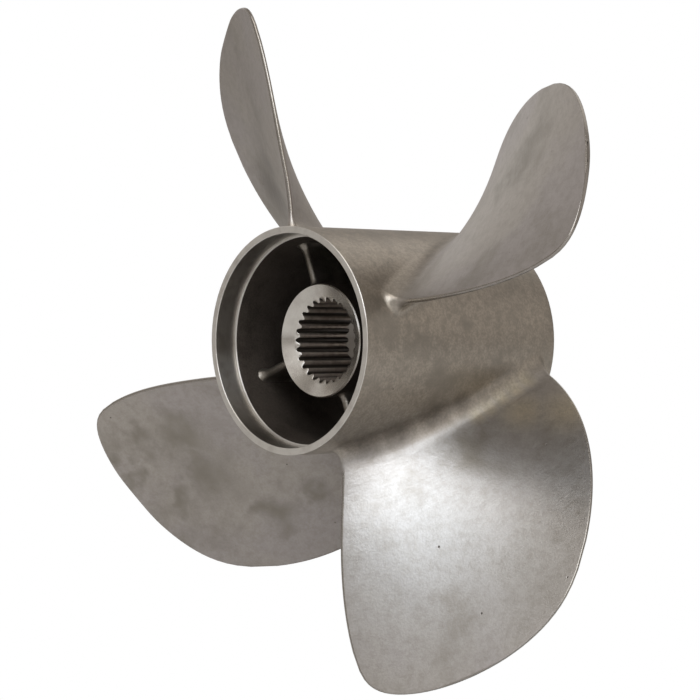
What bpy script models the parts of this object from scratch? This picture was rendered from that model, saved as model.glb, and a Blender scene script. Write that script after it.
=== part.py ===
"""A four-bladed, left-handed ship propeller with a hollow barrel, in metres.

The shaft axis is the Y axis. The forward end faces -Y and the origin is the centre of its rim.
Angles round the shaft are measured from +X towards +Z.
"""
import math

import bmesh
import bpy

# Clearance between pieces that touch on the real casting
GAP = 0.0003

# Barrel, the hollow outer hub
BARREL_RADIUS = 0.0592
BARREL_LENGTH = 0.1426
BARREL_SIDES = 72
MOUTH_BORE_RADIUS = 0.0556
MOUTH_DEPTH = 0.0128
MOUTH_CHAMFER = 0.0006
CAST_BORE_FRONT = 0.054
CAST_BORE_BACK = 0.0546
AFT_RIM_LENGTH = 0.008
AFT_RIM_STEP = 0.0002
AFT_RIM_ROUND = 0.0012

# Inner hub, which sits on the shaft
HUB_FRONT = 0.0234
HUB_BACK = 0.118
HUB_RADIUS_FRONT = 0.0299
HUB_RADIUS_BACK = 0.029
HUB_LAND = 0.0003
HUB_CHAMFER = 0.001
HUB_SIDES = 54
CONE_DEPTH = 0.0039
RELIEF_RADIUS = 0.0232

# Spline, cut in the front of the inner hub's bore
SPLINE_TEETH = 27
SPLINE_TURN = math.radians(6.5)
SPLINE_ROOT_RADIUS = 0.0226
SPLINE_CREST_RADIUS = 0.0206
SPLINE_BACK = 0.0645
SLEEVE_RADIUS = 0.0255

# Both corners of a groove and then of a crest, in shares of the tooth pitch
TOOTH_CORNERS = (-0.11, 0.11, 0.39, 0.61)

# Ribs between the inner hub and the barrel
RIB_COUNT = 4
RIB_ANGLE = math.radians(20.5)
RIB_FRONT = 0.029
RIB_BACK = 0.108
RIB_THICKNESS = 0.0045
RIB_FOOT_WIDTH = 0.009
RIB_FOOT_HEIGHT = 0.0045
RIB_NOSE = 0.002

# Blades: place and pitch
BLADE_COUNT = 4
TIP_RADIUS = 0.1922
BLADE_ANGLE = math.radians(136)
BLADE_MIDDLE = 0.0787
PITCH = 0.663

# Blades: outline, as polynomials of the fraction of the way from root to tip
SWEEP = (0, math.radians(-16.3), math.radians(-1.5))
HALF_CHORD = (math.radians(29.2), math.radians(1.6), math.radians(-17.4))
RAKE = (0, 0.0021, -0.0091)
CAMBER = (0.0015, -0.0009)
TIP_SQUARENESS = 26
TIP_CUT = 0.9995

# Blades: thickness and root fillet
ROOT_THICKNESS = 0.0094
TIP_THICKNESS = 0.0032
EDGE_THICKNESS = 0.002
FILLET_WIDTH = 0.009
FILLET_HEIGHT = 0.012
FILLET_EDGE_SHARE = 0.3
FILLET_LEVELS = (-0.0028, 0.0006, 0.0025, 0.005, 0.008)
CHORD_STATIONS = 11
RADIAL_STATIONS = 12

METAL_SMOOTH = ((0.62, 0.60, 0.57, 1), 0.28)
METAL_GROUND = ((0.42, 0.40, 0.37, 1), 0.42)
METAL_CAST = ((0.10, 0.085, 0.075, 1), 0.75)


def clear_scene():
    for item in list(bpy.data.objects):
        bpy.data.objects.remove(item)


def metal(name, look):
    """A steel material of the given colour and roughness."""
    colour, roughness = look
    result = bpy.data.materials.new(name + "_steel")
    result.use_nodes = True
    shader = result.node_tree.nodes["Principled BSDF"]
    shader.inputs["Base Color"].default_value = colour
    shader.inputs["Roughness"].default_value = roughness
    shader.inputs["Metallic"].default_value = 1.0
    return result


def add_object(name, shape, look):
    """Turn a bmesh into a named object with a material of its own."""
    bmesh.ops.recalc_face_normals(shape, faces=shape.faces)
    mesh = bpy.data.meshes.new(name)
    shape.to_mesh(mesh)
    shape.free()
    mesh.shade_smooth()
    mesh.set_sharp_from_angle(angle=math.radians(35))
    mesh.materials.append(metal(name, look))
    result = bpy.data.objects.new(name, mesh)
    bpy.context.collection.objects.link(result)
    return result


def on_shaft(radius, angle, y):
    """A point at a radius and an angle round the shaft axis."""
    return (radius * math.cos(angle), y, radius * math.sin(angle))


def turned(name, outline, sides, look):
    """A ring turned round the shaft from a closed outline of (radius, y) points."""
    shape = bmesh.new()
    points = [shape.verts.new((radius, y, 0)) for radius, y in outline]
    edges = [shape.edges.new((points[index - 1], point)) for index, point in enumerate(points)]
    bmesh.ops.spin(
        shape,
        geom=points + edges,
        cent=(0, 0, 0),
        axis=(0, 1, 0),
        angle=math.tau,
        steps=sides,
        use_merge=True,
    )
    return add_object(name, shape, look)


def skin(shape, loops):
    """Lay quads between each loop of points and the next, and return the rows of vertices."""
    rows = [[shape.verts.new(point) for point in loop] for loop in loops]
    for lower, upper in zip(rows, rows[1:]):
        for index in range(len(lower)):
            shape.faces.new((lower[index - 1], lower[index], upper[index], upper[index - 1]))
    return rows


def make_mouth_rim():
    """The machined ring that fits round the gearcase."""
    outline = [
        (BARREL_RADIUS, MOUTH_DEPTH - GAP),
        (BARREL_RADIUS, MOUTH_CHAMFER),
        (BARREL_RADIUS - MOUTH_CHAMFER, 0),
        (MOUTH_BORE_RADIUS, 0),
        (MOUTH_BORE_RADIUS, MOUTH_DEPTH - GAP),
    ]
    turned("mouth_rim", outline, BARREL_SIDES, METAL_SMOOTH)


def make_barrel():
    """The cast tube behind the mouth, with its narrow ledge facing forward."""
    back = BARREL_LENGTH - AFT_RIM_LENGTH
    outline = [
        (BARREL_RADIUS, back),
        (BARREL_RADIUS, MOUTH_DEPTH),
        (CAST_BORE_FRONT, MOUTH_DEPTH),
        (CAST_BORE_BACK, back),
    ]
    turned("barrel", outline, BARREL_SIDES, METAL_GROUND)


def make_aft_rim():
    """The slightly stepped ring at the aft end."""
    outer = BARREL_RADIUS - AFT_RIM_STEP
    front = BARREL_LENGTH - AFT_RIM_LENGTH + GAP
    outline = [
        (outer - AFT_RIM_ROUND, BARREL_LENGTH),
        (outer, BARREL_LENGTH - AFT_RIM_ROUND),
        (outer, front),
        (CAST_BORE_BACK, front),
        (CAST_BORE_BACK, BARREL_LENGTH),
    ]
    turned("aft_rim", outline, BARREL_SIDES, METAL_GROUND)


def cone_y(radius):
    """How far back the hub's conical front face lies at a radius."""
    run = HUB_RADIUS_FRONT - HUB_LAND - SPLINE_ROOT_RADIUS
    return HUB_FRONT + CONE_DEPTH * (HUB_RADIUS_FRONT - HUB_LAND - radius) / run


def make_inner_hub():
    """The boss on the shaft: conical seat in front, smooth bore and flat nut face behind."""
    socket = SLEEVE_RADIUS + GAP
    shoulder = SPLINE_BACK + GAP
    outline = [
        (HUB_RADIUS_BACK - HUB_CHAMFER, HUB_BACK),
        (HUB_RADIUS_BACK, HUB_BACK - HUB_CHAMFER),
        (HUB_RADIUS_FRONT, HUB_FRONT),
        (HUB_RADIUS_FRONT - HUB_LAND, HUB_FRONT),
        (socket, cone_y(socket)),
        (socket, shoulder),
        (RELIEF_RADIUS, shoulder),
        (RELIEF_RADIUS, HUB_BACK),
    ]
    turned("inner_hub", outline, HUB_SIDES, METAL_SMOOTH)


def make_splined_bore():
    """The toothed front of the shaft bore, whose front edge follows the hub's cone."""
    pitch = math.tau / SPLINE_TEETH
    angles = [SPLINE_TURN + pitch * (tooth + share) for tooth in range(SPLINE_TEETH) for share in TOOTH_CORNERS]
    radii = (2 * [SPLINE_ROOT_RADIUS] + 2 * [SPLINE_CREST_RADIUS]) * SPLINE_TEETH
    front = cone_y(SLEEVE_RADIUS)
    loops = [
        [on_shaft(radius, angle, SPLINE_BACK) for radius, angle in zip(radii, angles)],
        [on_shaft(radius, angle, cone_y(radius)) for radius, angle in zip(radii, angles)],
        [on_shaft(SLEEVE_RADIUS, angle, front) for angle in angles],
        [on_shaft(SLEEVE_RADIUS, angle, SPLINE_BACK) for angle in angles],
    ]
    shape = bmesh.new()
    skin(shape, loops + loops[:1])
    bmesh.ops.remove_doubles(shape, verts=shape.verts, dist=0.000001)
    add_object("splined_bore", shape, METAL_SMOOTH)


def make_rib(index):
    """One straight rib with widened feet on the hub and the barrel."""
    inner = HUB_RADIUS_FRONT + GAP
    outer = CAST_BORE_FRONT - GAP
    foot = RIB_FOOT_WIDTH / 2
    web = RIB_THICKNESS / 2
    half = [
        (inner, foot),
        (inner + RIB_FOOT_HEIGHT / 3, (foot + 2 * web) / 3),
        (inner + RIB_FOOT_HEIGHT, web),
        (outer - RIB_FOOT_HEIGHT, web),
        (outer - RIB_FOOT_HEIGHT / 3, (foot + 2 * web) / 3),
        (outer, foot),
    ]
    outline = half + [(radius, -side) for radius, side in reversed(half)]
    levels = ((RIB_FRONT, 0.5), (RIB_FRONT + RIB_NOSE, 1), (RIB_BACK - RIB_NOSE, 1), (RIB_BACK, 0.5))
    shape = bmesh.new()
    rows = skin(shape, [[(radius, y, side * share) for radius, side in outline] for y, share in levels])
    shape.faces.new(rows[0])
    shape.faces.new(rows[-1])
    rib = add_object(f"rib_{index + 1}", shape, METAL_CAST)
    rib.rotation_euler.y = -(RIB_ANGLE + index * math.tau / RIB_COUNT)


def polynomial(terms, value):
    return sum(term * value ** power for power, term in enumerate(terms))


def fillet_width(radius):
    """How far the root fillet stands out from the blade's face at a radius."""
    height = max(radius - BARREL_RADIUS, 0)
    return FILLET_WIDTH * max(1 - height / FILLET_HEIGHT, 0) ** 2


def blade_section(radius):
    """One closed section of a blade, wrapped on the cylinder of this radius."""
    part = (radius - BARREL_RADIUS) / (TIP_RADIUS - BARREL_RADIUS)
    sweep = polynomial(SWEEP, part)
    half_chord = polynomial(HALF_CHORD, part) * math.sqrt(1 - abs(part) ** TIP_SQUARENESS)
    rise = PITCH / math.tau
    camber = polynomial(CAMBER, part)
    fillet = fillet_width(radius)
    thickest = ROOT_THICKNESS + (TIP_THICKNESS - ROOT_THICKNESS) * part

    def place(across, side, beyond):
        """A point at -1 to 1 across the chord, off the middle surface and beyond its edge."""
        turn = sweep + across * half_chord
        along = radius * half_chord
        climb = rise * half_chord - 2 * camber * across
        length = math.hypot(along, climb)
        y = BLADE_MIDDLE + rise * turn + polynomial(RAKE, part) + camber * (1 - across ** 2)
        arc = (beyond * along - side * climb) / length
        return on_shaft(radius, BLADE_ANGLE + turn + arc / radius, y + (beyond * climb + side * along) / length)

    half_length = half_chord * math.hypot(radius, rise)
    reach = 1 - EDGE_THICKNESS / 2 / half_length
    steps = [math.sin(math.pi * (index / (CHORD_STATIONS - 1) - 0.5)) for index in range(CHORD_STATIONS)]
    swell = [(thickest - EDGE_THICKNESS) * (1 - step ** 2) ** 0.75 + EDGE_THICKNESS for step in steps]
    offsets = [width / 2 + fillet for width in swell]
    nose = EDGE_THICKNESS / 2 + fillet * FILLET_EDGE_SHARE
    aft = [place(reach * step, offset, 0) for step, offset in zip(steps, offsets)]
    forward = [place(reach * step, -offset, 0) for step, offset in zip(steps, offsets)]
    return aft + [place(reach, 0, nose)] + forward[::-1] + [place(-reach, 0, -nose)]


def close_section(shape, row):
    """Close the end of a blade with quads across its thickness and a triangle at each edge."""
    aft = row[:CHORD_STATIONS]
    forward = row[CHORD_STATIONS + 1:-1][::-1]
    for index in range(CHORD_STATIONS - 1):
        shape.faces.new((aft[index], aft[index + 1], forward[index + 1], forward[index]))
    shape.faces.new((aft[-1], row[CHORD_STATIONS], forward[-1]))
    shape.faces.new((aft[0], row[-1], forward[0]))


def blade_radii():
    """Radii of the sections: through the fillet first, then closer and closer up to the tip."""
    start = BARREL_RADIUS + FILLET_HEIGHT
    reach = TIP_RADIUS - start
    steps = [math.sin(math.pi / 2 * index / RADIAL_STATIONS) for index in range(RADIAL_STATIONS)]
    radii = [BARREL_RADIUS + level for level in FILLET_LEVELS]
    radii += [start + reach * step for step in steps]
    radii.append(BARREL_RADIUS + (TIP_RADIUS - BARREL_RADIUS) * TIP_CUT)
    return radii


def make_root_cutter():
    """A guide that trims every blade's root to the barrel's surface."""
    shape = bmesh.new()
    bmesh.ops.create_cone(
        shape,
        cap_ends=True,
        segments=BARREL_SIDES,
        radius1=BARREL_RADIUS + GAP,
        radius2=BARREL_RADIUS + GAP,
        depth=BARREL_LENGTH * 2,
    )
    cutter = add_object("root_cutter", shape, METAL_CAST)
    cutter.rotation_euler.x = math.pi / 2
    cutter.location.y = BARREL_LENGTH / 2
    cutter.hide_render = True
    cutter.display_type = "WIRE"
    return cutter


def make_blade(index, cutter):
    """One blade with its root fillet, cut to sit on the barrel."""
    shape = bmesh.new()
    rows = skin(shape, [blade_section(radius) for radius in blade_radii()])
    close_section(shape, rows[0])
    close_section(shape, rows[-1])
    blade = add_object(f"blade_{index + 1}", shape, METAL_GROUND)
    blade.rotation_euler.y = index * math.tau / BLADE_COUNT
    trim = blade.modifiers.new("root", "BOOLEAN")
    trim.operation = "DIFFERENCE"
    trim.solver = "EXACT"
    trim.object = cutter


def main():
    clear_scene()
    make_mouth_rim()
    make_barrel()
    make_aft_rim()
    make_inner_hub()
    make_splined_bore()
    for index in range(RIB_COUNT):
        make_rib(index)
    cutter = make_root_cutter()
    for index in range(BLADE_COUNT):
        make_blade(index, cutter)


main()
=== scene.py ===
"""A four-bladed ship propeller in worn steel, on a pale studio floor.

Lengths are in metres. The shaft axis is the Y axis and the forward end faces -Y.
Angles round the shaft are measured from +X towards +Z.
"""

import math

import bmesh
import bpy
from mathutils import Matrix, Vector


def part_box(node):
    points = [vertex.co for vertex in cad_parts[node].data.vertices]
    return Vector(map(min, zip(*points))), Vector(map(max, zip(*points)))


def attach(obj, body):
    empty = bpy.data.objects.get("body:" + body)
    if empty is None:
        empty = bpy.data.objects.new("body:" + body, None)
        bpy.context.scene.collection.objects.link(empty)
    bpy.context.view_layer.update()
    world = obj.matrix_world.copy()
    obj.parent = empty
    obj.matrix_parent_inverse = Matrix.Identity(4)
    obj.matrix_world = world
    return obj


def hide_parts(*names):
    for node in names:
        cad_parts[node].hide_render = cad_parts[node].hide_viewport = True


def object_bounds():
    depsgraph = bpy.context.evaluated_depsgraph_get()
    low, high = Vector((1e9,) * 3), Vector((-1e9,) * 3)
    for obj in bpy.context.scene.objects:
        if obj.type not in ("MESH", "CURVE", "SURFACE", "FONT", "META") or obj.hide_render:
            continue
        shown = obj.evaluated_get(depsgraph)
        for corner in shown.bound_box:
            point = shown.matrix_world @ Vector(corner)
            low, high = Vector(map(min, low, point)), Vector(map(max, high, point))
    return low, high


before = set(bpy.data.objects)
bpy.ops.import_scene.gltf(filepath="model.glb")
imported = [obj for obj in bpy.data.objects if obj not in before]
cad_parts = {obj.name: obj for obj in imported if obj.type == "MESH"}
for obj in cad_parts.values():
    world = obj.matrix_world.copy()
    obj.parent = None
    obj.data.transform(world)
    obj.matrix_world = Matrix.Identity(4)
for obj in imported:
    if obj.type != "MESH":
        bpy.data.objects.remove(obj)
cad_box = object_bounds()

MM = 0.001

# Ends and radii, read from the frame
BARREL_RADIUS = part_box("barrel")[1].x
LEDGE_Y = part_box("barrel")[0].y
STEP_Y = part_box("barrel")[1].y
BARREL_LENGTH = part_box("aft_rim")[1].y
AFT_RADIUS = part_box("aft_rim")[1].x
HUB_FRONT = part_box("inner_hub")[0].y
HUB_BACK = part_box("inner_hub")[1].y
HUB_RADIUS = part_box("inner_hub")[1].x
SPLINE_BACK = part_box("splined_bore")[1].y

# Barrel
MOUTH_BORE_RADIUS = 55.6 * MM
CAST_BORE_FRONT = 54 * MM
CAST_BORE_BACK = 54.6 * MM
RIM_CHAMFER = 0.3 * MM
LEDGE_ROUND = 0.7 * MM
BORE_CHAMFER = 0.4 * MM
AFT_ROUND = 1.2 * MM

# Blades: place and pitch, with the rise in metres for a radian of turn
BLADE_COUNT = 4
QUARTER = math.tau / BLADE_COUNT
TIP_RADIUS = 192.2 * MM
BLADE_SPAN = TIP_RADIUS - BARREL_RADIUS
BLADE_ANGLE = math.radians(136)
BLADE_MIDDLE = 78.7 * MM
PITCH = 663 * MM
RISE = PITCH / math.tau

# Blades: outline, as polynomials of the part of the way from root to tip
SWEEP = (0, math.radians(-16.3), math.radians(-1.5))
HALF_CHORD = (math.radians(29.2), math.radians(1.6), math.radians(-17.4))
RAKE = (0, 2.1 * MM, -9.1 * MM)
CAMBER = (1.5 * MM, -0.9 * MM)
TIP_SQUARENESS = 26

# Blades: thickness
ROOT_THICKNESS = 9.4 * MM
TIP_THICKNESS = 3.2 * MM
EDGE_RADIUS = 1 * MM
SWELL_POWER = 0.75

# Blades: root fillet, which narrows towards the trailing edge on its aft side
FILLET_WIDTH = 9 * MM
FILLET_HEIGHT = 9 * MM
FILLET_NOSE = 5 * MM
FILLET_ARC = math.radians(78)
TAIL_LENGTH = 1 / 3
TAIL_SHARE = 0.2

# Blades: how far the leading edge's root is drawn forward, its turn as a share of that, and its height
LEAD_LENGTH = 4.2 * MM
LEAD_TWIST = 0.5
LEAD_HEIGHT = 33 * MM

# Blades: where on the span the closer rows of the tip start, and how far round its outline they go
TIP_START = 0.78
TIP_END = math.radians(85)

# How finely the casting is modelled
EDGE_STEPS = 4
CHORD_STEPS = 36
FILLET_STEPS = 7
SPAN_STEPS = 28
TIP_STEPS = 16
BAND_COLUMNS = 10
MIDDLE_COLUMN = BAND_COLUMNS + 1
COLUMNS = 2 * MIDDLE_COLUMN
FRONT_ROWS = 6
AFT_ROWS = 2
WELD = 0.01 * MM
SMOOTH_ANGLE = math.radians(35)

# Inner hub
HUB_RADIUS_BACK = 29 * MM
HUB_LAND = 0.6 * MM
HUB_ROUND = 1 * MM
CONE_DEPTH = 3.9 * MM
RELIEF_RADIUS = 23.2 * MM

# Spline: a flatness over 1 cuts the wave of its teeth flat, and its run-out is a slope
SPLINE_TEETH = 27
SPLINE_TURN = math.radians(6.5)
SPLINE_ROOT_RADIUS = 22.6 * MM
SPLINE_CREST_RADIUS = 20.6 * MM
SPLINE_FLATNESS = 1.3
SPLINE_BREAK = 0.2 * MM
SPLINE_RUNOUT = 2
POINTS_PER_TOOTH = 10

# How squarely a face of the hub looks away from the axis, or towards it, to count as doing so
LOOKS_OUT = 0.9
LOOKS_IN = -0.1

# Ribs
RIB_COUNT = 4
RIB_ANGLE = math.radians(20.5)
RIB_FRONT = 29 * MM
RIB_BACK = 108 * MM
RIB_WEB = 4.5 * MM
RIB_FOOT = 10 * MM
RIB_FLARE = 6 * MM
RIB_SINK = 0.4 * MM
RIB_COLUMNS = 20
RIB_ROWS = 16

# Colours of the steel
BRIGHT_STEEL = (0.59, 0.57, 0.53, 1)
LIGHT_STEEL = (0.415, 0.385, 0.355, 1)
VIOLET_STEEL = (0.40, 0.37, 0.36, 1)
CLEAN_AND_LIT_STEEL = (0.42, 0.415, 0.41, 1)
BROWN_STEEL = (0.40, 0.35, 0.29, 1)
PAINTED_HIGHLIGHT_STEEL = (0.64, 0.56, 0.40, 1)
STAINED_AND_SHADED_STEEL = (0.25, 0.23, 0.20, 1)
CREST_STEEL = (0.40, 0.34, 0.295, 1)
DARK_STEEL = (0.06, 0.05, 0.045, 1)
SCALE_LIGHT = (0.10, 0.083, 0.07, 1)
DARK_SCALE_AND_SHADE = (0.045, 0.037, 0.03, 1)

# Turned finishes: name, two colours, range of roughness, how metallic, spread of light across the rings
TURNED_FINISHES = {
    "machined_steel": ("machined_steel_faced", (BRIGHT_STEEL, LIGHT_STEEL), (0.28, 0.4), 0.7, 0.5),
    "cone_steel": ("machined_steel_turned", (BRIGHT_STEEL, LIGHT_STEEL), (0.2, 0.3), 1, 0.6),
    "bored_steel": ("machined_steel_bored", (LIGHT_STEEL, STAINED_AND_SHADED_STEEL), (0.26, 0.34), 1, 0.9),
    "dulled_steel": ("machined_steel_dulled", (LIGHT_STEEL, STAINED_AND_SHADED_STEEL), (0.35, 0.5), 0.6, 0.5),
}

# The spread's direction is a place's radius plus this, which crosses the rings on a face and in a bore
FORWARD_LEAN = (0, -120 * MM, 0)

# Noise and grain: how far stains are made ragged, how far out the round spots of stains, painted
# highlights, painted light and painted shade fade, and the brushed lines in a metre
RAGGED_SHIFT = 50 * MM
SPOT_FADE = 1.3
LINES_PER_METRE = 900
LINE_ENDS_PER_METRE = 60
LINE_LAYERS_PER_METRE = 20

# Stains on the blades and the barrel: centre and reach in millimetres
STAINS = (
    ((59, 12, 8), 13),
    ((59, 34, 0), 10),
    ((56, 58, -20), 14),
    ((59, 76, 6), 10),
    ((58, 100, -10), 12),
    ((-151, 26, -57), 14),
    ((-124, 33, -53), 22),
    ((-119, 51, -78), 22),
    ((-141, 47, -89), 13),
    ((-91, 75, -95), 15),
    ((-64, 87, -85), 12),
    ((-166, 33, -78), 10),
    ((61, 73, -59), 20),
    ((-95, 75, 90), 26),
    ((-104, 88, 74), 26),
    ((109, 65, 96), 22),
    ((91, 67, 82), 16),
)

# A painted yellow highlight along the fillet of the lower right blade, in the same way
PAINTED_HIGHLIGHTS = (
    ((54, 86, -40), 6),
    ((56, 93, -36), 7),
    ((58, 101, -31), 7),
    ((60, 109, -26), 7),
    ((61, 117, -21), 6),
    ((70, 104, -37), 14),
    ((90, 117, -36), 18),
)

# Painted shade: a dark band above the same fillet, and darkening low on the upper left blade
PAINTED_SHADE = (
    ((27, 30, -54), 11),
    ((36, 45, -48), 11),
    ((45, 63, -39), 11),
    ((50, 78, -32), 8),
    ((-98, 80, 85), 20),
    ((-84, 68, 100), 12),
)

# Cleaner, more neutral steel over most of the lower right blade, and painted light lightening a part of it
# that lies in shade
CLEAN_AND_LIT_PATCHES = (
    ((60, 50, -100), 95),
    ((115, 100, -62), 50),
)

# Camera
CAMERA_AZIMUTH = math.radians(45.66)
CAMERA_ELEVATION = math.radians(0.46)
CAMERA_DISTANCE = 1.2739
CAMERA_OFFSET = (32.6 * MM, -4.8 * MM)
CAMERA_REACH = 100
FOCAL_PIXELS = 2468
FRAME_PIXELS = 700
SENSOR_WIDTH = 36

# Studio
FLOOR_SIZE = 60
FLOOR_GAP = 1 * MM
FLOOR_COLOUR = (0.8, 0.8, 0.8, 1)
FLOOR_ROUGHNESS = 0.9
SURROUNDINGS = (0.43, 0.40, 0.37, 1)
WHITE = (1, 1, 1, 1)

# Softboxes: name, azimuth and elevation in degrees, power in watts, and colour
SOFTBOX_SIZE = 1.1
SOFTBOX_DISTANCE = 1.9
SOFTBOXES = (
    ("key", 60, 28, 11, (0.92, 0.96, 1)),
    ("key_front", 42, 33, 7, (0.87, 0.93, 1)),
    ("top", 32, 62, 7.5, (1, 0.97, 0.93)),
    ("front", 5, 21, 1.6, (1, 1, 1)),
    ("left_front", 298, 36, 1, (1, 1, 1)),
    ("left", 252, 25, 1.5, (1, 1, 1)),
    ("left_low", 256, 1, 0.2, (1, 1, 1)),
    ("back", 190, 46, 2, (1, 0.97, 0.93)),
    ("back_right", 130, 20, 1, (1, 0.95, 0.9)),
    ("low_right", 77, 2, 4, (1, 0.95, 0.88)),
)


def deselect():
    bpy.ops.object.select_all(action="DESELECT")


def select_only(piece):
    deselect()
    piece.select_set(True)
    bpy.context.view_layer.objects.active = piece


def turn_round_shaft(piece, angle):
    """Turn a piece round the shaft axis, from +X towards +Z, and apply the turn."""
    select_only(piece)
    piece.rotation_euler.y = -angle
    bpy.ops.object.transform_apply(location=False, rotation=True, scale=False)


def polynomial(terms, value):
    return sum(term * value ** power for power, term in enumerate(terms))


def between(first, second, share):
    return [start + (end - start) * share for start, end in zip(first, second)]


def on_shaft(radius, angle, y):
    """A point at a radius and an angle round the shaft axis."""
    return Vector((radius * math.cos(angle), y, radius * math.sin(angle)))


def rounding(share):
    """How far a quarter round has come in, at a share of its depth."""
    return 1 - math.sqrt(max(1 - share ** 2, 0))


def chord_stations():
    """Places across the chord, as a share of half of it, each with an angle round the edge's nose."""
    turns = [math.pi / 2 * step / EDGE_STEPS for step in range(1, EDGE_STEPS)]
    inner = [(-math.cos(math.pi * step / CHORD_STEPS), 0) for step in range(CHORD_STEPS + 1)]
    return [(-1, turn) for turn in reversed(turns)] + inner + [(1, turn) for turn in turns]


def blade_levels():
    """Parts of the way from root to tip: up the fillet, along the span and round the blunt tip."""
    arcs = [FILLET_ARC * step / FILLET_STEPS for step in range(FILLET_STEPS + 1)]
    top = FILLET_HEIGHT / BLADE_SPAN
    fillet = [top * (1 - math.cos(arc)) / (1 - math.cos(FILLET_ARC)) for arc in arcs]
    plain = TIP_START - fillet[-1]
    span = [fillet[-1] + plain * step / SPAN_STEPS for step in range(1, SPAN_STEPS)]
    start = math.asin(TIP_START ** (TIP_SQUARENESS / 2))
    turns = [start + (TIP_END - start) * step / TIP_STEPS for step in range(TIP_STEPS + 1)]
    return fillet + span + [math.sin(turn) ** (2 / TIP_SQUARENESS) for turn in turns]


STATIONS = chord_stations()
LEVELS = blade_levels()
LAST_STATION = len(STATIONS) - 1
LAST_LEVEL = len(LEVELS) - 1
NOSE_ROW = FRONT_ROWS
TAIL_ROW = NOSE_ROW + LAST_STATION
ROWS = TAIL_ROW + AFT_ROWS


def root_fillet(part):
    """How much of its width the root fillet still has at this part of the span."""
    if part >= LEVELS[FILLET_STEPS]:
        return 0
    depth = part / LEVELS[FILLET_STEPS] * (1 - math.cos(FILLET_ARC))
    angle = math.acos(1 - depth)
    return 1 - math.sin(angle) / math.sin(FILLET_ARC)


def tip_flatness(level):
    """The share of its thickness that the blade has this near to its tip."""
    if level == LAST_LEVEL:
        return 0
    inside = (1 - LEVELS[level]) * BLADE_SPAN / EDGE_RADIUS
    return 1 - rounding(max(1 - inside, 0))


def half_chord_angle(part):
    return polynomial(HALF_CHORD, part) * math.sqrt(1 - part ** TIP_SQUARENESS)


def root_lead(part, share):
    """How far the blade is drawn forward: most at the root of its leading edge, and soon not at all."""
    nearness = max(1 - BLADE_SPAN * part / LEAD_HEIGHT, 0)
    return LEAD_LENGTH * nearness ** 2 * ((1 - share) / 2) ** 2


def blade_place(level, station, side):
    """Radius, angle and y of a point of the blade: side is 1 aft, -1 forward and 0 in the middle."""
    part = LEVELS[level]
    share, nose_turn = STATIONS[station]
    if side == 0 and station in (0, LAST_STATION):
        nose_turn = math.pi / 2
    radius = BARREL_RADIUS + BLADE_SPAN * part
    half_chord = half_chord_angle(part)
    length = half_chord * math.hypot(radius, RISE)
    fillet = root_fillet(part)
    if side >= 0:
        fillet *= 1 - (1 - TAIL_SHARE) * max(1 - (1 - share) / TAIL_LENGTH, 0)
    nose = (EDGE_RADIUS + FILLET_NOSE * fillet) * math.sin(nose_turn)
    across = (share * (length - EDGE_RADIUS) + math.copysign(nose, share)) / length
    thickest = ROOT_THICKNESS + (TIP_THICKNESS - ROOT_THICKNESS) * part
    swell = (thickest / 2 - EDGE_RADIUS) * max(1 - across ** 2, 0) ** SWELL_POWER
    thick = (EDGE_RADIUS + FILLET_WIDTH * fillet) * math.cos(nose_turn) + swell
    offset = side * tip_flatness(level) * thick
    lead = root_lead(part, share)
    camber = polynomial(CAMBER, part)
    turn = polynomial(SWEEP, part) + across * half_chord
    y = BLADE_MIDDLE + RISE * turn + polynomial(RAKE, part) + camber * (1 - across ** 2) - lead
    turn += lead * LEAD_TWIST / radius
    run = radius * half_chord
    climb = RISE * half_chord - 2 * camber * across
    slant = math.hypot(run, climb)
    return radius, BLADE_ANGLE + turn - offset * climb / slant / radius, y + offset * run / slant


def station_beside(row):
    """The blade's station beside a row of the skin, which runs on past both its ends."""
    return min(max(row - NOSE_ROW, 0), LAST_STATION)


def band_place(column, station):
    """Angle and y on the barrel of a point in a blade's rows: beside the blade, or under its middle."""
    forward = blade_place(0, station, -1)[1:]
    aft = blade_place(0, station, 1)[1:]
    if column == MIDDLE_COLUMN:
        return blade_place(0, station, 0)[1:]
    if column < MIDDLE_COLUMN:
        start = between((aft[0] + QUARTER, aft[1]), forward, 0.5)
        return between(start, forward, column / BAND_COLUMNS)
    start = between(aft, (forward[0] - QUARTER, forward[1]), 0.5)
    return between(start, aft, (COLUMNS - column) / BAND_COLUMNS)


def skin_place(column, row):
    """Radius, angle and y of a point on the barrel's skin, whose end rings are evenly spaced."""
    station = station_beside(row)
    end_y = STEP_Y if row > TAIL_ROW else RIM_CHAMFER
    even = (band_place(0, station)[0] - QUARTER * column / COLUMNS, end_y)
    beyond = max((NOSE_ROW - row) / FRONT_ROWS, (row - TAIL_ROW) / AFT_ROWS, 0)
    angle, y = between(band_place(column, station), even, beyond)
    return BARREL_RADIUS, angle, y


def edit_layers(shape):
    """The layers of the edited mesh, which a change to the mesh makes anew."""
    layers = {name: shape.verts.layers.int[name] for name in ("column", "row")}
    layers["edge"] = shape.verts.layers.float["edge"]
    layers["grain"] = shape.verts.layers.float_vector["grain"]
    return layers


def note_surface(vertex, layers, level, station, side):
    """Keep a point's place along the blade, for the grain of its finish, and mark its edges, which the
    finish makes smoother, as worn, and darker with painted shade.
    """
    part = LEVELS[level]
    share, _ = STATIONS[station]
    radius = BARREL_RADIUS + BLADE_SPAN * part
    along = share * half_chord_angle(part) * math.hypot(radius, RISE)
    vertex[layers["grain"]] = (along, radius, side * BARREL_RADIUS)
    on_edge = abs(share) == 1 or tip_flatness(level) < 1
    vertex[layers["edge"]] = 1 if on_edge and level > FILLET_STEPS else 0


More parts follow.
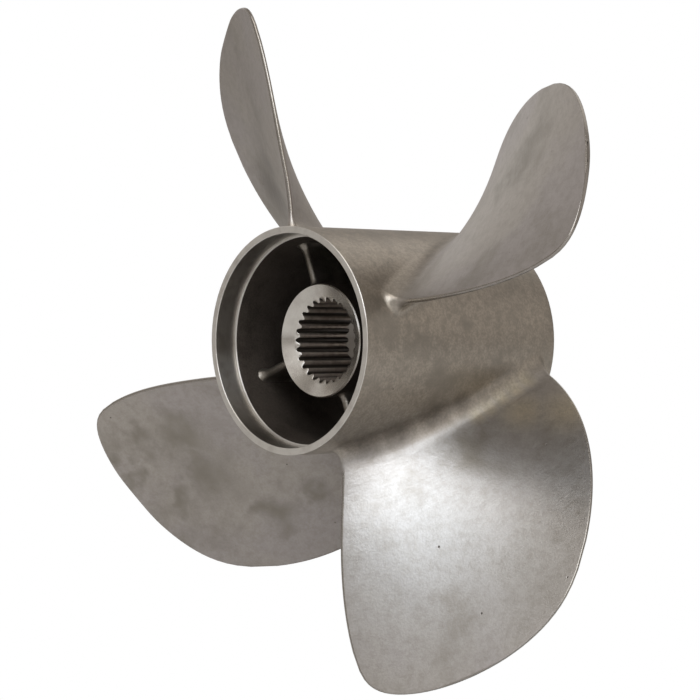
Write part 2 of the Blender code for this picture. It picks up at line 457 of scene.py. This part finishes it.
def lay_skin(mesh):
    """Lay the edited grid on the barrel, and select the strip of it that carries the blade."""
    shape = bmesh.from_edit_mesh(mesh)
    layers = edit_layers(shape)
    column_of, row_of = layers["column"], layers["row"]
    for vertex in shape.verts:
        vertex[column_of] = round((vertex.co.x + 1) / 2 * COLUMNS)
        vertex[row_of] = round((vertex.co.y + 1) / 2 * ROWS)
        vertex.co = on_shaft(*skin_place(vertex[column_of], vertex[row_of]))
        note_surface(vertex, layers, 0, station_beside(vertex[row_of]), 0)
    for face in shape.faces:
        columns = [vertex[column_of] for vertex in face.verts]
        rows = [vertex[row_of] for vertex in face.verts]
        in_strip = min(columns) >= MIDDLE_COLUMN - 1 and max(columns) <= MIDDLE_COLUMN + 1
        face.select = in_strip and min(rows) >= NOSE_ROW and max(rows) <= TAIL_ROW
    bmesh.update_edit_mesh(mesh)


def draw_blade(mesh):
    """Draw the selected strip out from the barrel, level by level, to the tip."""
    for level in range(1, LAST_LEVEL + 1):
        bpy.ops.mesh.extrude_region()
        shape = bmesh.from_edit_mesh(mesh)
        layers = edit_layers(shape)
        for vertex in shape.verts:
            if vertex.select:
                side = vertex[layers["column"]] - MIDDLE_COLUMN
                station = vertex[layers["row"]] - NOSE_ROW
                vertex.co = on_shaft(*blade_place(level, station, side))
                note_surface(vertex, layers, level, station, side)
        bmesh.update_edit_mesh(mesh)


def blade_quarter():
    """A quarter of the skin: a grid round the barrel, with a strip of it drawn out into a blade."""
    deselect()
    bpy.ops.mesh.primitive_grid_add(x_subdivisions=COLUMNS, y_subdivisions=ROWS, size=2)
    quarter = bpy.context.object
    mesh = quarter.data
    kinds = {"column": "INT", "row": "INT", "edge": "FLOAT", "grain": "FLOAT_VECTOR"}
    for name, kind in kinds.items():
        mesh.attributes.new(name, kind, "POINT")
    bpy.ops.object.mode_set(mode="EDIT")
    bpy.ops.mesh.select_all(action="DESELECT")
    lay_skin(mesh)
    draw_blade(mesh)
    bpy.ops.mesh.select_all(action="SELECT")
    bpy.ops.mesh.remove_doubles(threshold=WELD)
    bpy.ops.object.mode_set(mode="OBJECT")
    return quarter


def joined_quarters(quarter):
    """Four turned copies of the quarter, joined and welded along their seams. They stay in edit mode."""
    copies = [quarter]
    for count in range(1, BLADE_COUNT):
        select_only(quarter)
        bpy.ops.object.duplicate()
        copies.append(bpy.context.object)
        turn_round_shaft(bpy.context.object, count * QUARTER)
    select_only(quarter)
    for item in copies:
        item.select_set(True)
    bpy.ops.object.join()
    bpy.ops.object.mode_set(mode="EDIT")
    bpy.ops.mesh.select_all(action="SELECT")
    bpy.ops.mesh.remove_doubles(threshold=WELD)
    return quarter


def select_open_ring(mesh, y):
    """Select the open edges of the edited mesh that lie at one y."""
    bpy.ops.mesh.select_mode(type="EDGE")
    bpy.ops.mesh.select_all(action="DESELECT")
    shape = bmesh.from_edit_mesh(mesh)
    for edge in shape.edges:
        level = all(abs(vertex.co.y - y) < WELD for vertex in edge.verts)
        edge.select = edge.is_boundary and level
    bmesh.update_edit_mesh(mesh)


def draw_ring(mesh, place):
    """Draw the selected ring of edges out to place(angle), which gives a radius and a y."""
    bpy.ops.mesh.extrude_edges_move()
    shape = bmesh.from_edit_mesh(mesh)
    for vertex in shape.verts:
        if vertex.select:
            angle = math.atan2(vertex.co.z, vertex.co.x)
            radius, y = place(angle)
            vertex.co = on_shaft(radius, angle, y)
    bmesh.update_edit_mesh(mesh)


def turn_profile(mesh, profile):
    """Draw the selected ring on through a list of (radius, y) points."""
    for point in profile:
        draw_ring(mesh, lambda angle, point=point: point)


def quarter_round(radius, y, size):
    """Points of a quarter circle round (radius, y), from aft of it outwards. A negative size mirrors it."""
    turns = [math.pi / 2 * step / EDGE_STEPS for step in range(EDGE_STEPS + 1)]
    return [(radius + size * math.sin(turn), y + size * math.cos(turn)) for turn in turns]


def close_shape():
    """Weld the edited shape where it meets itself, and point its faces outwards."""
    bpy.ops.mesh.select_all(action="SELECT")
    bpy.ops.mesh.remove_doubles(threshold=WELD)
    bpy.ops.mesh.normals_make_consistent(inside=False)
    bpy.ops.object.mode_set(mode="OBJECT")


def finish_faces(piece, finishes, names, choose):
    """Give each face of a piece the finish that choose(face) names, which is one of the names."""
    mesh = piece.data
    mesh.materials.clear()
    for name in names:
        mesh.materials.append(finishes[name])
    for face in mesh.polygons:
        face.material_index = names.index(choose(face))


def casting_finish(face):
    """The finish of a face of the casting: the blades and the barrel's outside are ground."""
    y = face.center.y
    radius = math.hypot(face.center.x, face.center.z)
    if radius < CAST_BORE_BACK + RIM_CHAMFER and y > LEDGE_Y + LEDGE_ROUND:
        return "cast_steel"
    if radius < MOUTH_BORE_RADIUS and RIM_CHAMFER < y < LEDGE_Y - WELD:
        return "bored_steel"
    if radius < BARREL_RADIUS - RIM_CHAMFER / 4 and y < LEDGE_Y + LEDGE_ROUND:
        return "machined_steel"
    return "ground_steel"


def make_casting(finishes):
    """Barrel and blades in one: the mouth, bore and aft rim are turned on from the skin's front ring."""
    casting = joined_quarters(blade_quarter())
    casting.name = "casting"
    select_open_ring(casting.data, RIM_CHAMFER)
    mouth = [
        (BARREL_RADIUS - RIM_CHAMFER, 0),
        (MOUTH_BORE_RADIUS + RIM_CHAMFER, 0),
        (MOUTH_BORE_RADIUS, RIM_CHAMFER),
        (MOUTH_BORE_RADIUS, LEDGE_Y),
    ]
    ledge = quarter_round(CAST_BORE_FRONT + LEDGE_ROUND, LEDGE_Y + LEDGE_ROUND, -LEDGE_ROUND)
    bore = [(CAST_BORE_BACK, BARREL_LENGTH - BORE_CHAMFER), (CAST_BORE_BACK + BORE_CHAMFER, BARREL_LENGTH)]
    rim = quarter_round(AFT_RADIUS - AFT_ROUND, BARREL_LENGTH - AFT_ROUND, AFT_ROUND)
    step = [(AFT_RADIUS, STEP_Y + BARREL_RADIUS - AFT_RADIUS), (BARREL_RADIUS, STEP_Y)]
    turn_profile(casting.data, mouth + ledge + bore + rim + step)
    close_shape()
    names = ("ground_steel", "machined_steel", "bored_steel", "cast_steel")
    finish_faces(casting, finishes, names, casting_finish)
    return casting


def cone_y(radius):
    """How far back the hub's conical face lies at a radius."""
    rim = HUB_RADIUS - HUB_LAND
    return HUB_FRONT + CONE_DEPTH * (rim - radius) / (rim - SPLINE_ROOT_RADIUS)


def runout_y(radius):
    """Where the teeth end at a radius: a slope leads from their crests down to the smooth bore."""
    middle = (SPLINE_ROOT_RADIUS + SPLINE_CREST_RADIUS) / 2
    return SPLINE_BACK + SPLINE_RUNOUT * (radius - middle)


def spline_radius(angle):
    """The toothed bore before it is turned: a groove at the top, flat crests and slanted flanks."""
    wave = SPLINE_FLATNESS * math.cos((angle - math.pi / 2) * SPLINE_TEETH)
    share = (1 - max(min(wave, 1), -1)) / 2
    return SPLINE_ROOT_RADIUS + (SPLINE_CREST_RADIUS - SPLINE_ROOT_RADIUS) * share


def tooth_face(angle):
    """Radius and y where the cone meets the broken edges of the teeth."""
    radius = spline_radius(angle) + SPLINE_BREAK
    return radius, cone_y(radius)


def tooth_front(angle):
    """Radius and y where the teeth start, behind their broken edges."""
    return spline_radius(angle), tooth_face(angle)[1] + SPLINE_BREAK


def tooth_end(angle):
    """Radius and y where the teeth end."""
    radius = spline_radius(angle)
    return radius, runout_y(radius)


def hub_finish(face):
    """The finish of a face of the hub: its front and its back are turned."""
    centre = face.center
    radius = math.hypot(centre.x, centre.z)
    outward = (face.normal.x * centre.x + face.normal.z * centre.z) / radius
    if outward > LOOKS_OUT:
        return "cast_steel"
    if centre.y > runout_y(radius) and outward < LOOKS_IN:
        return "dulled_steel"
    if centre.y > cone_y(radius) + SPLINE_BREAK and radius < SPLINE_ROOT_RADIUS:
        return "spline_steel"
    return "cone_steel"


def make_hub(finishes):
    """The boss on the shaft: a turned cone, a toothed bore, a smooth one behind it, and a cast outside."""
    deselect()
    start = (HUB_RADIUS, HUB_FRONT + HUB_LAND)
    bpy.ops.mesh.primitive_circle_add(
        vertices=SPLINE_TEETH * POINTS_PER_TOOTH,
        radius=start[0],
        location=(0, start[1], 0),
        rotation=(math.pi / 2, 0, 0),
    )
    hub = bpy.context.object
    hub.name = "hub"
    bpy.ops.object.transform_apply()
    bpy.ops.object.mode_set(mode="EDIT")
    bpy.ops.mesh.select_all(action="SELECT")
    cone = [HUB_RADIUS - HUB_LAND, (HUB_RADIUS + SPLINE_ROOT_RADIUS) / 2, RELIEF_RADIUS]
    turn_profile(hub.data, [(radius, cone_y(radius)) for radius in cone])
    for place in (tooth_face, tooth_front, tooth_end):
        draw_ring(hub.data, place)
    back = [
        (RELIEF_RADIUS, runout_y(RELIEF_RADIUS)),
        (RELIEF_RADIUS, HUB_BACK - SPLINE_BREAK),
        (RELIEF_RADIUS + SPLINE_BREAK, HUB_BACK),
        (HUB_RADIUS_BACK - HUB_ROUND, HUB_BACK),
        (HUB_RADIUS_BACK, HUB_BACK - HUB_ROUND),
        start,
    ]
    turn_profile(hub.data, back)
    close_shape()
    turn_round_shaft(hub, (SPLINE_TURN - math.pi / 2) % (math.tau / SPLINE_TEETH))
    finish_faces(hub, finishes, ("cone_steel", "spline_steel", "dulled_steel", "cast_steel"), hub_finish)
    return hub


def wall_radius(y):
    """The cast bore's radius, which has a slight draft."""
    draft = (CAST_BORE_BACK - CAST_BORE_FRONT) / (BARREL_LENGTH - LEDGE_Y)
    return CAST_BORE_FRONT + draft * (y - LEDGE_Y)


def rib_place(column, row, side):
    """A point of a rib that lies along +X: flared feet at both ends, round front and back edges."""
    inner = HUB_RADIUS_BACK - RIB_SINK
    share = (1 - math.cos(math.pi * column / RIB_COLUMNS)) / 2
    gap = min(share, 1 - share) * (CAST_BORE_BACK - inner)
    flare = rounding(max(1 - gap / RIB_FLARE, 0))
    half = (RIB_WEB + (RIB_FOOT - RIB_WEB) * flare) / 2
    turn = math.pi * row / RIB_ROWS
    front = RIB_FRONT - RIB_WEB * flare
    inset = (RIB_BACK - front) / 2 - half
    y = (front + RIB_BACK) / 2 - math.copysign(inset, math.cos(turn)) - half * math.cos(turn)
    radius = inner + (wall_radius(y) + RIB_SINK - inner) * share
    return Vector((radius, y, side * half * math.sin(turn)))


def make_rib(index, finishes):
    """One rib: a flat grid that becomes one side, and is drawn through to the other."""
    deselect()
    bpy.ops.mesh.primitive_grid_add(x_subdivisions=RIB_COLUMNS, y_subdivisions=RIB_ROWS, size=2)
    rib = bpy.context.object
    rib.name = f"rib_{index + 1}_finished"
    bpy.ops.object.mode_set(mode="EDIT")
    shape = bmesh.from_edit_mesh(rib.data)
    for vertex in shape.verts:
        column = round((vertex.co.x + 1) / 2 * RIB_COLUMNS)
        row = round((vertex.co.y + 1) / 2 * RIB_ROWS)
        vertex.co = rib_place(column, row, -1)
    bmesh.update_edit_mesh(rib.data)
    bpy.ops.mesh.select_all(action="SELECT")
    bpy.ops.mesh.extrude_region()
    shape = bmesh.from_edit_mesh(rib.data)
    for vertex in shape.verts:
        if vertex.select:
            vertex.co.z = -vertex.co.z
    bmesh.update_edit_mesh(rib.data)
    close_shape()
    turn_round_shaft(rib, RIB_ANGLE + index * math.tau / RIB_COUNT)
    rib.data.materials.append(finishes["rib_steel"])
    return rib


def smooth(piece):
    select_only(piece)
    bpy.ops.object.shade_smooth_by_angle(angle=SMOOTH_ANGLE)


def add_node(tree, kind, values, **settings):
    """A node with its settings. Each named or numbered input is set to a value or linked to a socket."""
    node = tree.nodes.new(kind)
    for name, setting in settings.items():
        setattr(node, name, setting)
    for key, value in values.items():
        if isinstance(value, bpy.types.NodeSocket):
            tree.links.new(value, node.inputs[key])
        else:
            node.inputs[key].default_value = value
    return node


def maths(tree, operation, *values):
    """The number that a maths operation makes of numbers or sockets."""
    return add_node(tree, "ShaderNodeMath", dict(enumerate(values)), operation=operation).outputs[0]


def vector_maths(tree, operation, *values):
    """The outputs of a maths operation on vectors: the vector and the value that it makes."""
    return add_node(tree, "ShaderNodeVectorMath", dict(enumerate(values)), operation=operation).outputs


def fade(tree, value, start, end):
    """0 before the start and 1 past the end, with a soft step between."""
    values = {"Value": value, "From Min": start, "From Max": end}
    return add_node(tree, "ShaderNodeMapRange", values, interpolation_type="SMOOTHSTEP").outputs[0]


def mix_colours(tree, share, first, second):
    values = {0: share, 6: first, 7: second}
    return add_node(tree, "ShaderNodeMix", values, data_type="RGBA").outputs[2]


def mix_numbers(tree, share, first, second):
    values = {"Value": share, "To Min": first, "To Max": second}
    return add_node(tree, "ShaderNodeMapRange", values).outputs[0]


def noise(tree, place, per_metre, detail):
    """The outputs of a noise, a number and a colour, of so many features in a metre."""
    values = {"Vector": place, "Scale": per_metre, "Detail": detail}
    return add_node(tree, "ShaderNodeTexNoise", values).outputs


def new_group(name, inputs):
    """A shader node group with these vectors or numbers as inputs, and one number as its output."""
    group = bpy.data.node_groups.new(name, "ShaderNodeTree")
    for label, default in inputs.items():
        kind = "NodeSocketVector" if isinstance(default, tuple) else "NodeSocketFloat"
        socket = group.interface.new_socket(label, in_out="INPUT", socket_type=kind)
        socket.default_value = default
    group.interface.new_socket("Value", in_out="OUTPUT", socket_type="NodeSocketFloat")
    given = group.nodes.new("NodeGroupInput").outputs
    return group, given, group.nodes.new("NodeGroupOutput").inputs["Value"]


def use_group(tree, group, values):
    return add_node(tree, "ShaderNodeGroup", values, node_tree=group).outputs[0]


def shaft_radius(tree, place):
    """How far a place is from the shaft axis."""
    flat = vector_maths(tree, "MULTIPLY", place, (1, 0, 1))["Vector"]
    return vector_maths(tree, "LENGTH", flat)["Value"]


def blotches_group():
    """Soft blotches: 0 outside them and 1 inside."""
    inputs = {"Place": (0, 0, 0), "Per metre": 40, "Low": 0.45, "High": 0.65}
    group, given, result = new_group("blotches", inputs)
    values = {"Vector": given["Place"], "Scale": given["Per metre"], "Detail": 5, "Roughness": 0.6}
    cloud = add_node(group, "ShaderNodeTexNoise", values).outputs["Fac"]
    group.links.new(fade(group, cloud, given["Low"], given["High"]), result)
    return group


def spot_group():
    """One soft round spot, which draws stains, painted highlights, painted light and painted shade: 1 at
    its centre and 0 well past its reach.
    """
    inputs = {"Place": (0, 0, 0), "Centre": (0, 0, 0), "Reach": 0.01}
    group, given, result = new_group("spot", inputs)
    distance = vector_maths(group, "DISTANCE", given["Place"], given["Centre"])["Value"]
    share = maths(group, "DIVIDE", distance, given["Reach"])
    group.links.new(fade(group, share, SPOT_FADE, 0), result)
    return group


def pits_group():
    """Sparse small pits of varied size: 1 in a pit and 0 elsewhere."""
    group, given, result = new_group("pits", {"Place": (0, 0, 0), "Per metre": 110, "Size": 0.09})
    values = {"Vector": given["Place"], "Scale": given["Per metre"]}
    cells = add_node(group, "ShaderNodeTexVoronoi", values)
    luck = add_node(group, "ShaderNodeSeparateColor", {0: cells.outputs["Color"]}).outputs[0]
    size = maths(group, "MULTIPLY", given["Size"], fade(group, luck, 0.4, 1))
    group.links.new(fade(group, cells.outputs["Distance"], size, 0), result)
    return group


def brushing_group():
    """Fine lines that run along the first axis of a surface's own coordinates."""
    inputs = {"Grain": (0, 0, 0), "Lines per metre": LINES_PER_METRE}
    group, given, result = new_group("brushing", inputs)
    values = {0: LINE_ENDS_PER_METRE, 1: given["Lines per metre"], 2: LINE_LAYERS_PER_METRE}
    stretch = add_node(group, "ShaderNodeCombineXYZ", values).outputs[0]
    stretched = vector_maths(group, "MULTIPLY", given["Grain"], stretch)["Vector"]
    group.links.new(noise(group, stretched, per_metre=1, detail=3)["Fac"], result)
    return group


def turning_group():
    """The marks of a lathe: rings round the shaft axis."""
    group, given, result = new_group("turning", {"Place": (0, 0, 0), "Rings per metre": 3000})
    along = add_node(group, "ShaderNodeSeparateXYZ", {0: given["Place"]}).outputs["Y"]
    values = {0: shaft_radius(group, given["Place"]), 1: along}
    profile = add_node(group, "ShaderNodeCombineXYZ", values).outputs[0]
    group.links.new(noise(group, profile, given["Rings per metre"], detail=2)["Fac"], result)
    return group


def blotches(tree, groups, place, per_metre, low, high):
    """Soft blotches, so many in a metre: 0 where their noise is under low and 1 where it is over high."""
    values = {"Place": place, "Per metre": per_metre, "Low": low, "High": high}
    return use_group(tree, groups["blotches"], values)


def strongest_spot(tree, groups, place, stains):
    """How strongly the strongest of several spots shows."""
    strongest = 0
    for centre, reach in stains:
        values = {"Place": place, "Centre": [value * MM for value in centre], "Reach": reach * MM}
        strongest = maths(tree, "MAXIMUM", use_group(tree, groups["spot"], values), strongest)
    return strongest


def ragged(tree, place):
    """The place, shifted to and fro by noise, so that what is drawn there gets a ragged edge."""
    colour = noise(tree, place, per_metre=55, detail=6)["Color"]
    most = (RAGGED_SHIFT, RAGGED_SHIFT, RAGGED_SHIFT)
    least = (-RAGGED_SHIFT / 2, -RAGGED_SHIFT / 2, -RAGGED_SHIFT / 2)
    shift = vector_maths(tree, "MULTIPLY_ADD", colour, most, least)["Vector"]
    return vector_maths(tree, "ADD", place, shift)["Vector"]


def new_finish(name, roughness):
    """A metal to work on: its material, node tree, shader inputs and object coordinates."""
    finish = bpy.data.materials.new(name)
    finish.use_nodes = True
    shader = finish.node_tree.nodes["Principled BSDF"]
    shader.inputs["Metallic"].default_value = 1
    shader.inputs["Roughness"].default_value = roughness
    place = finish.node_tree.nodes.new("ShaderNodeTexCoord").outputs["Object"]
    return finish, finish.node_tree, shader.inputs, place


def add_relief(tree, sockets, steps):
    """Bumps on a finish, from (height socket, depth in metres) pairs."""
    normal = None
    for height, depth in steps:
        values = {"Height": height, "Distance": depth}
        if normal:
            values["Normal"] = normal
        normal = add_node(tree, "ShaderNodeBump", values).outputs["Normal"]
    tree.links.new(normal, sockets["Normal"])


def ground_steel(groups):
    """Hand-ground steel: stains, a painted yellow highlight and painted shade over a mottle, a speckle,
    pits and brushed lines; its edges get painted shade, and part of one blade painted light.
    """
    finish, tree, sockets, place = new_finish("ground_steel_worn_with_painted_light", 0.38)
    grain = add_node(tree, "ShaderNodeAttribute", {}, attribute_name="grain").outputs["Vector"]
    edge = add_node(tree, "ShaderNodeAttribute", {}, attribute_name="edge").outputs["Fac"]
    on_barrel = fade(tree, shaft_radius(tree, place), BARREL_RADIUS + FILLET_HEIGHT, BARREL_RADIUS)
    clouds = blotches(tree, groups, place, per_metre=12, low=0.4, high=0.6)
    patches = blotches(tree, groups, place, per_metre=30, low=0.5, high=0.75)
    mottle = blotches(tree, groups, place, per_metre=220, low=0.4, high=0.7)
    speckle = blotches(tree, groups, place, per_metre=800, low=0.35, high=0.65)
    pits = use_group(tree, groups["pits"], {"Place": place})
    stained = strongest_spot(tree, groups, ragged(tree, place), STAINS)
    stained = maths(tree, "MAXIMUM", maths(tree, "MULTIPLY", patches, 0.6), stained)
    # From the bottom up: where each layer lies, how strongly it shows, and its colour
    layers = (
        # Cleaner, more neutral steel on the lower right blade, with painted light where part of it lies in
        # shade
        (strongest_spot(tree, groups, place, CLEAN_AND_LIT_PATCHES), 1, CLEAN_AND_LIT_STEEL),
        (on_barrel, 0.8, BROWN_STEEL),
        # A painted yellow highlight along the lower right blade's fillet
        (strongest_spot(tree, groups, place, PAINTED_HIGHLIGHTS), 0.6, PAINTED_HIGHLIGHT_STEEL),
        (stained, 0.95, STAINED_AND_SHADED_STEEL),
        (mottle, mix_numbers(tree, on_barrel, 0.3, 0.65), STAINED_AND_SHADED_STEEL),
        (speckle, mix_numbers(tree, on_barrel, 0.2, 0.6), STAINED_AND_SHADED_STEEL),
        # Painted shade: the blade's edges are darkened
        (edge, 0.5, STAINED_AND_SHADED_STEEL),
        # Painted shade: a dark band above the lower right blade's fillet, and darkening low on the upper
        # left blade
        (strongest_spot(tree, groups, place, PAINTED_SHADE), 0.45, DARK_STEEL),
        (pits, 1, DARK_STEEL),
    )
    colour = mix_colours(tree, clouds, LIGHT_STEEL, VIOLET_STEEL)
    for mask, strength, shade in layers:
        colour = mix_colours(tree, maths(tree, "MULTIPLY", mask, strength), colour, shade)
    tree.links.new(colour, sockets["Base Color"])
    lines = use_group(tree, groups["brushing"], {"Grain": grain})
    roughness = mix_numbers(tree, lines, 0.3, 0.46)
    tree.links.new(mix_numbers(tree, edge, roughness, 0.25), sockets["Roughness"])
    waves = noise(tree, place, per_metre=26, detail=1)["Fac"]
    steps = [(waves, 0.5 * MM), (lines, 0.02 * MM), (speckle, 0.02 * MM), (pits, -0.3 * MM)]
    add_relief(tree, sockets, steps)
    return finish


def turned_steel(groups, name, colours, roughness, metallic, spread):
    """Lathe-turned steel: its rings differ in colour and roughness, and spread light across themselves."""
    finish, tree, sockets, place = new_finish(name, roughness[1])
    sockets["Metallic"].default_value = metallic
    sockets["Anisotropic"].default_value = spread
    across = vector_maths(tree, "MULTIPLY_ADD", place, (1, 0, 1), FORWARD_LEAN)["Vector"]
    tree.links.new(across, sockets["Tangent"])
    rings = use_group(tree, groups["turning"], {"Place": place})
    clouds = blotches(tree, groups, place, per_metre=110, low=0.4, high=0.75)
    share = maths(tree, "MULTIPLY_ADD", clouds, 0.6, maths(tree, "MULTIPLY", rings, 0.4))
    tree.links.new(mix_colours(tree, share, *colours), sockets["Base Color"])
    tree.links.new(mix_numbers(tree, rings, *roughness), sockets["Roughness"])
    add_relief(tree, sockets, [(rings, 0.005 * MM)])
    return finish


def cast_steel(groups, name, colours, roughness):
    """Steel as cast: scale in two colours, in blotches and grains."""
    finish, tree, sockets, place = new_finish(name, roughness)
    sockets["Metallic"].default_value = 0.85
    clouds = blotches(tree, groups, place, per_metre=60, low=0.4, high=0.75)
    grit = blotches(tree, groups, place, per_metre=900, low=0.3, high=0.7)
    share = maths(tree, "MULTIPLY_ADD", clouds, 0.6, maths(tree, "MULTIPLY", grit, 0.4))
    tree.links.new(mix_colours(tree, share, *colours), sockets["Base Color"])
    add_relief(tree, sockets, [(clouds, 0.15 * MM), (grit, 0.06 * MM)])
    return finish


def spline_steel(groups):
    """Teeth with oil blotches, and painted light and shade: darker in the grooves and lighter on the
    crests.
    """
    finish, tree, sockets, place = new_finish("spline_steel_oiled_and_shaded", 0.42)
    sockets["Metallic"].default_value = 0.6
    # Painted light and shade: the colour darkens from the crests down into the grooves
    crest_ends = SPLINE_CREST_RADIUS + 0.2 * MM
    groove_starts = SPLINE_ROOT_RADIUS - 0.4 * MM
    depth = fade(tree, shaft_radius(tree, place), crest_ends, groove_starts)
    oil = blotches(tree, groups, place, per_metre=300, low=0.3, high=0.8)
    crest = mix_colours(tree, maths(tree, "MULTIPLY", oil, 0.5), CREST_STEEL, SCALE_LIGHT)
    tree.links.new(mix_colours(tree, depth, crest, DARK_SCALE_AND_SHADE), sockets["Base Color"])
    tree.links.new(mix_numbers(tree, oil, 0.36, 0.5), sockets["Roughness"])
    return finish


def make_finishes():
    groups = {
        "blotches": blotches_group(),
        "spot": spot_group(),
        "pits": pits_group(),
        "brushing": brushing_group(),
        "turning": turning_group(),
    }
    finishes = {"ground_steel": ground_steel(groups)}
    for key, settings in TURNED_FINISHES.items():
        finishes[key] = turned_steel(groups, *settings)
    finishes["cast_steel"] = cast_steel(groups, "cast_steel_rough", (SCALE_LIGHT, DARK_SCALE_AND_SHADE), 0.62)
    finishes["rib_steel"] = cast_steel(groups, "cast_steel_rubbed", (STAINED_AND_SHADED_STEEL, SCALE_LIGHT), 0.3)
    finishes["spline_steel"] = spline_steel(groups)
    return finishes


def make_camera():
    data = bpy.data.cameras.new("camera")
    camera = bpy.data.objects.new("camera", data)
    bpy.context.scene.collection.objects.link(camera)
    data.sensor_width = SENSOR_WIDTH
    data.lens = FOCAL_PIXELS / FRAME_PIXELS * SENSOR_WIDTH
    data.clip_end = CAMERA_REACH
    camera.rotation_euler = (math.pi / 2 - CAMERA_ELEVATION, 0, CAMERA_AZIMUTH)
    camera.location = camera.rotation_euler.to_matrix() @ Vector((*CAMERA_OFFSET, CAMERA_DISTANCE))
    bpy.context.scene.camera = camera


def make_light(name, azimuth, elevation, power, colour):
    """A softbox that looks at the propeller. Azimuth 0 is straight ahead of its mouth, 90 is towards +X."""
    target = Vector((0, BARREL_LENGTH / 2, 0))
    turn, rise = math.radians(azimuth), math.radians(elevation)
    flat = math.cos(rise)
    direction = Vector((math.sin(turn) * flat, -math.cos(turn) * flat, math.sin(rise)))
    data = bpy.data.lights.new(name, "AREA")
    data.size = SOFTBOX_SIZE
    data.energy = power
    data.color = colour
    light = bpy.data.objects.new(name, data)
    light.location = target + direction * SOFTBOX_DISTANCE
    light.rotation_euler = direction.to_track_quat("Z", "Y").to_euler()
    bpy.context.scene.collection.objects.link(light)


def show_white(tree, output, around):
    """Show white to the camera itself, and the given shader to everything else."""
    white = add_node(tree, "ShaderNodeEmission", {"Color": WHITE}).outputs[0]
    path = tree.nodes.new("ShaderNodeLightPath")
    values = {0: path.outputs["Is Camera Ray"], 1: around, 2: white}
    mix = add_node(tree, "ShaderNodeMixShader", values)
    tree.links.new(mix.outputs[0], output)


def make_floor():
    deselect()
    bpy.ops.mesh.primitive_plane_add(size=FLOOR_SIZE, location=(0, 0, cad_box[0][2] - FLOOR_GAP))
    floor = bpy.context.object
    floor.name = "floor"
    paint = bpy.data.materials.new("floor_paint")
    paint.use_nodes = True
    nodes = paint.node_tree.nodes
    shader = nodes["Principled BSDF"]
    shader.inputs["Base Color"].default_value = FLOOR_COLOUR
    shader.inputs["Roughness"].default_value = FLOOR_ROUGHNESS
    show_white(paint.node_tree, nodes["Material Output"].inputs["Surface"], shader.outputs[0])
    floor.data.materials.append(paint)


def make_studio():
    scene = bpy.context.scene
    scene.view_settings.view_transform = "Standard"
    world = bpy.data.worlds.new("studio")
    scene.world = world
    world.use_nodes = True
    nodes = world.node_tree.nodes
    nodes["Background"].inputs["Color"].default_value = SURROUNDINGS
    show_white(world.node_tree, nodes["World Output"].inputs["Surface"], nodes["Background"].outputs[0])
    make_floor()
    for light in SOFTBOXES:
        make_light(*light)


def main():
    finishes = make_finishes()
    casting = make_casting(finishes)
    blades = [f"blade_{index + 1}" for index in range(BLADE_COUNT)]
    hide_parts("mouth_rim", "barrel", "aft_rim", *blades)
    hub = make_hub(finishes)
    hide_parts("inner_hub", "splined_bore")
    pieces = [casting, hub]
    for index in range(RIB_COUNT):
        rib = make_rib(index, finishes)
        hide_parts(f"rib_{index + 1}")
        pieces.append(rib)
    for piece in pieces:
        smooth(piece)
        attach(piece, "root")
    make_camera()
    make_studio()


main()
